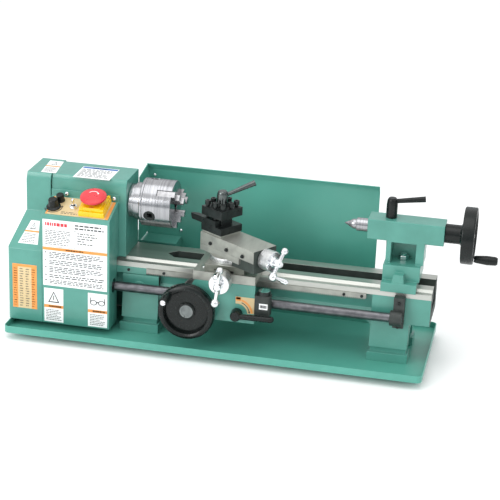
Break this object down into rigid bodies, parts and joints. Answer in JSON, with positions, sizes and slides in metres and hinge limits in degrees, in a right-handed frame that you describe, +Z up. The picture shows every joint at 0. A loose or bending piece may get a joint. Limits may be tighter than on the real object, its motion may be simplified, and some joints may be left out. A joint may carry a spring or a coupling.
{
  "type": "metal lathe",
  "caption": "Bench metal lathe with three-jaw chuck, four-way tool post on a swivelling compound, tailstock with live handwheel, splash guard and chip tray.",
  "frame": {"origin": "centre of the four bench-bolt holes, on the plane of the rubber feet's undersides", "axes": "+X along the spindle from the headstock to the tailstock, +Y from the operator to the back, +Z up"},
  "size_m": [0.797, 0.276, 0.2835],
  "materials": {
    "green_paint": "semi-gloss teal green enamel",
    "guard_paint": "semi-gloss teal green enamel on sheet",
    "rubber": "matte black",
    "machined_iron": "ground and milled, oiled",
    "ground_steel": "ground",
    "hard_steel": "hardened, satin",
    "gear_steel": "cut steel, oiled",
    "black_oxide": "blackened steel",
    "bright_chrome": "polished plating",
    "dull_chrome": "satin",
    "black_plastic": "moulded, satin",
    "black_casting": "satin black",
    "yellow_plastic": "gloss yellow",
    "red_plastic": "gloss red",
    "cream_plate": "printed plate, satin",
    "belt_rubber": "moulded belt",
    "bronze": "cast bronze"
  },
  "bodies": {
    "machine": {"rubber_feet": "rubber", "chip_tray": "green_paint", "splash_guard": "guard_paint", "bed": "green_paint", "feed_rack": "machined_iron", "headstock": "green_paint", "spindle_bearings": "ground_steel", "gear_cover": "green_paint", "control_box": "green_paint", "control_plate": "cream_plate", "switch_base": "yellow_plastic", "fuse_cap": "black_plastic", "motor": "black_casting", "motor_cover": "green_paint", "drive_belt": "belt_rubber", "leadscrew_brackets": "black_casting", "gear_bracket": "gear_steel", "cord_gland": "black_plastic", "machine_screws": "bright_chrome"},
    "spindle": {"spindle": "ground_steel", "spindle_pulley": "gear_steel", "chuck_body": "ground_steel"},
    "chuck_scroll": {"chuck_scroll": "gear_steel"},
    "chuck_pinion_1": {"chuck_pinion_1": "hard_steel"},
    "chuck_jaw_1": {"chuck_jaw_1": "hard_steel"},
    "chuck_pinion_2": {"chuck_pinion_2": "hard_steel"},
    "chuck_jaw_2": {"chuck_jaw_2": "hard_steel"},
    "chuck_pinion_3": {"chuck_pinion_3": "hard_steel"},
    "chuck_jaw_3": {"chuck_jaw_3": "hard_steel"},
    "motor_rotor": {"motor_rotor": "ground_steel"},
    "tumbler_gear": {"tumbler_gear": "gear_steel"},
    "change_gear": {"change_gear": "gear_steel"},
    "leadscrew": {"leadscrew": "ground_steel"},
    "carriage": {"saddle": "machined_iron", "apron": "green_paint", "thread_dial_body": "black_casting"},
    "carriage_handwheel": {"carriage_handwheel": "black_plastic"},
    "carriage_grip": {"carriage_grip": "black_plastic"},
    "apron_pinion": {"apron_pinion": "gear_steel"},
    "thread_dial": {"thread_dial": "black_oxide"},
    "half_nut_lever": {"half_nut_lever": "black_plastic"},
    "half_nut_upper": {"half_nut_upper": "bronze"},
    "half_nut_lower": {"half_nut_lower": "bronze"},
    "cross_slide": {"cross_slide": "machined_iron"},
    "cross_feed_crank": {"cross_feed_crank": "bright_chrome"},
    "compound_base": {"compound_base": "machined_iron"},
    "compound_slide": {"compound_slide": "machined_iron"},
    "compound_crank": {"compound_crank": "bright_chrome"},
    "turret": {"turret": "black_oxide", "cutting_tool": "black_oxide"},
    "turret_lever": {"turret_lever": "black_oxide"},
    "tailstock": {"tailstock_body": "green_paint"},
    "tailstock_quill": {"tailstock_quill": "ground_steel"},
    "tailstock_handwheel": {"tailstock_handwheel": "black_plastic"},
    "tailstock_grip": {"tailstock_grip": "black_plastic"},
    "quill_lock_lever": {"quill_lock_lever": "black_oxide"},
    "speed_knob": {"speed_knob": "black_plastic"},
    "power_toggle": {"power_toggle": "bright_chrome"},
    "switch_lid": {"switch_lid": "yellow_plastic"},
    "stop_button": {"stop_button": "red_plastic"}
  },
  "joints": [
    {"name": "spindle_turn", "type": "hinge", "parent": "machine", "child": "spindle", "pos_m": [-0.237, 0, 0.225], "axis": [1, 0, 0], "continuous": true},
    {"name": "scroll_turn", "type": "hinge", "parent": "spindle", "child": "chuck_scroll", "pos_m": [-0.189, 0, 0.225], "axis": [1, 0, 0], "range_deg": [-540, 630]},
    {"name": "jaw_1_slide", "type": "slide", "parent": "spindle", "child": "chuck_jaw_1", "axis": [0, -0.7314, 0.682], "range_m": [-0.0061, 0.0071]},
    {"name": "pinion_1_turn", "type": "hinge", "parent": "spindle", "child": "chuck_pinion_1", "pos_m": [-0.197, -0.03443, 0.21447], "axis": [0, -0.9563, -0.2924], "continuous": true},
    {"name": "jaw_2_slide", "type": "slide", "parent": "spindle", "child": "chuck_jaw_2", "axis": [0, -0.225, -0.9744], "range_m": [-0.0061, 0.0071]},
    {"name": "pinion_2_turn", "type": "hinge", "parent": "spindle", "child": "chuck_pinion_2", "pos_m": [-0.197, 0.02633, 0.20045], "axis": [0, 0.7314, -0.682], "continuous": true},
    {"name": "jaw_3_slide", "type": "slide", "parent": "spindle", "child": "chuck_jaw_3", "axis": [0, 0.9563, 0.2924], "range_m": [-0.0061, 0.0071]},
    {"name": "pinion_3_turn", "type": "hinge", "parent": "spindle", "child": "chuck_pinion_3", "pos_m": [-0.197, 0.0081, 0.26008], "axis": [0, 0.225, 0.9744], "continuous": true},
    {"name": "motor_turn", "type": "hinge", "parent": "machine", "child": "motor_rotor", "pos_m": [-0.337, 0.0739, 0.076], "axis": [1, 0, 0], "continuous": true},
    {"name": "tumbler_turn", "type": "hinge", "parent": "machine", "child": "tumbler_gear", "pos_m": [-0.396, -0.01242, 0.17864], "axis": [1, 0, 0], "continuous": true},
    {"name": "change_gear_turn", "type": "hinge", "parent": "machine", "child": "change_gear", "pos_m": [-0.396, -0.01837, 0.12345], "axis": [1, 0, 0], "continuous": true},
    {"name": "leadscrew_turn", "type": "hinge", "parent": "machine", "child": "leadscrew", "pos_m": [-0.087, -0.06, 0.094], "axis": [1, 0, 0], "continuous": true},
    {"name": "carriage_handwheel_turn", "type": "hinge", "parent": "carriage", "child": "carriage_handwheel", "pos_m": [-0.1155, -0.09, 0.0805], "axis": [0, 1, 0], "range_deg": [-302, 3903]},
    {"name": "carriage_travel", "type": "slide", "parent": "machine", "child": "carriage", "axis": [1, 0, 0], "range_m": [-0.01, 0.13]},
    {"name": "carriage_grip_spin", "type": "hinge", "parent": "carriage_handwheel", "child": "carriage_grip", "pos_m": [-0.143, -0.12, 0.11], "axis": [0, -1, 0], "continuous": true},
    {"name": "apron_pinion_turn", "type": "hinge", "parent": "carriage", "child": "apron_pinion", "pos_m": [-0.10646, -0.06, 0.107], "axis": [0, 1, 0], "continuous": true},
    {"name": "thread_dial_turn", "type": "hinge", "parent": "carriage", "child": "thread_dial", "pos_m": [0.007, -0.077, 0.106], "axis": [0, 0, 1], "continuous": true},
    {"name": "half_nut_lever_turn", "type": "hinge", "parent": "carriage", "child": "half_nut_lever", "pos_m": [-0.0355, -0.085, 0.08], "axis": [0, -1, 0], "range_deg": [0, 75]},
    {"name": "half_nut_upper_slide", "type": "slide", "parent": "carriage", "child": "half_nut_upper", "axis": [0, 0, 1], "range_m": [0, 0.0051]},
    {"name": "half_nut_lower_slide", "type": "slide", "parent": "carriage", "child": "half_nut_lower", "axis": [0, 0, -1], "range_m": [0, 0.0051]},
    {"name": "cross_crank_turn", "type": "hinge", "parent": "carriage", "child": "cross_feed_crank", "pos_m": [-0.059, -0.11, 0.141], "axis": [0, 1, 0], "range_deg": [-5, 18005]},
    {"name": "cross_slide_travel", "type": "slide", "parent": "carriage", "child": "cross_slide", "axis": [0, 1, 0], "range_m": [0, 0.05]},
    {"name": "compound_swivel", "type": "hinge", "parent": "cross_slide", "child": "compound_base", "pos_m": [-0.0595, -0.0425, 0.163], "axis": [0, 0, 1], "range_deg": [-20, 70]},
    {"name": "compound_crank_turn", "type": "hinge", "parent": "compound_slide", "child": "compound_crank", "pos_m": [0.0234, -0.09842, 0.182], "axis": [-0.829, 0.5592, 0], "range_deg": [-16205, 725]},
    {"name": "compound_travel", "type": "slide", "parent": "compound_base", "child": "compound_slide", "axis": [-0.829, 0.5592, 0], "range_m": [-0.045, 0.002]},
    {"name": "turret_turn", "type": "hinge", "parent": "compound_slide", "child": "turret", "pos_m": [-0.07691, -0.03076, 0.221], "axis": [0, 0, 1], "continuous": true},
    {"name": "turret_lever_turn", "type": "hinge", "parent": "compound_slide", "child": "turret_lever", "pos_m": [-0.07691, -0.03076, 0.251], "axis": [0, 0, 1], "range_deg": [-60, 60]},
    {"name": "tailstock_travel", "type": "slide", "parent": "machine", "child": "tailstock", "axis": [1, 0, 0], "range_m": [-0.06, 0.02]},
    {"name": "tailstock_handwheel_turn", "type": "hinge", "parent": "tailstock", "child": "tailstock_handwheel", "pos_m": [0.313, 0, 0.225], "axis": [-1, 0, 0], "range_deg": [-4320, 7680]},
    {"name": "quill_travel", "type": "slide", "parent": "tailstock", "child": "tailstock_quill", "axis": [-1, 0, 0], "range_m": [-0.0181, 0.0321]},
    {"name": "tailstock_grip_spin", "type": "hinge", "parent": "tailstock_handwheel", "child": "tailstock_grip", "pos_m": [0.348, -0.007, 0.189], "axis": [1, 0, 0], "continuous": true},
    {"name": "quill_lock_turn", "type": "hinge", "parent": "tailstock", "child": "quill_lock_lever", "pos_m": [0.194, 0, 0.256], "axis": [0, 0, 1], "range_deg": [-45, 45]},
    {"name": "speed_knob_turn", "type": "hinge", "parent": "machine", "child": "speed_knob", "pos_m": [-0.3504, -0.06887, 0.22938], "axis": [0, -0.3007, 0.9537], "range_deg": [0, 270]},
    {"name": "power_toggle_tilt", "type": "hinge", "parent": "machine", "child": "power_toggle", "pos_m": [-0.3176, -0.06303, 0.22284], "axis": [1, 0, 0], "range_deg": [-15, 15]},
    {"name": "switch_lid_lift", "type": "hinge", "parent": "machine", "child": "switch_lid", "pos_m": [-0.2815, -0.04619, 0.24125], "axis": [-1, 0, 0], "range_deg": [0, 50]},
    {"name": "stop_button_press", "type": "slide", "parent": "switch_lid", "child": "stop_button", "axis": [0, 0.3007, -0.9537], "range_m": [0, 0.003], "stiffness_N_per_m": 900}
  ],
  "couplings": [
    {"joint": "jaw_1_slide", "follows": "scroll_turn", "m_per_rad": 0.00063662},
    {"joint": "pinion_1_turn", "follows": "scroll_turn", "ratio": 4},
    {"joint": "jaw_2_slide", "follows": "scroll_turn", "m_per_rad": 0.00063662},
    {"joint": "pinion_2_turn", "follows": "scroll_turn", "ratio": 4},
    {"joint": "jaw_3_slide", "follows": "scroll_turn", "m_per_rad": 0.00063662},
    {"joint": "pinion_3_turn", "follows": "scroll_turn", "ratio": 4},
    {"joint": "motor_turn", "follows": "spindle_turn", "ratio": 2.4375},
    {"joint": "tumbler_turn", "follows": "spindle_turn", "ratio": -0.88235},
    {"joint": "change_gear_turn", "follows": "spindle_turn", "ratio": 0.75},
    {"joint": "leadscrew_turn", "follows": "spindle_turn", "ratio": -1.0714},
    {"joint": "carriage_handwheel_turn", "follows": "carriage_travel", "rad_per_m": 523.81},
    {"joint": "apron_pinion_turn", "follows": "carriage_travel", "rad_per_m": -142.86},
    {"joint": "thread_dial_turn", "follows": "carriage_travel", "rad_per_m": 247.37},
    {"joint": "half_nut_upper_slide", "follows": "half_nut_lever_turn", "m_per_rad": 0.0038197},
    {"joint": "half_nut_lower_slide", "follows": "half_nut_lever_turn", "m_per_rad": 0.0038197},
    {"joint": "cross_crank_turn", "follows": "cross_slide_travel", "rad_per_m": 6283.2},
    {"joint": "compound_crank_turn", "follows": "compound_travel", "rad_per_m": 6283.2},
    {"joint": "quill_travel", "follows": "tailstock_handwheel_turn", "m_per_rad": 0.00023873}
  ]
}
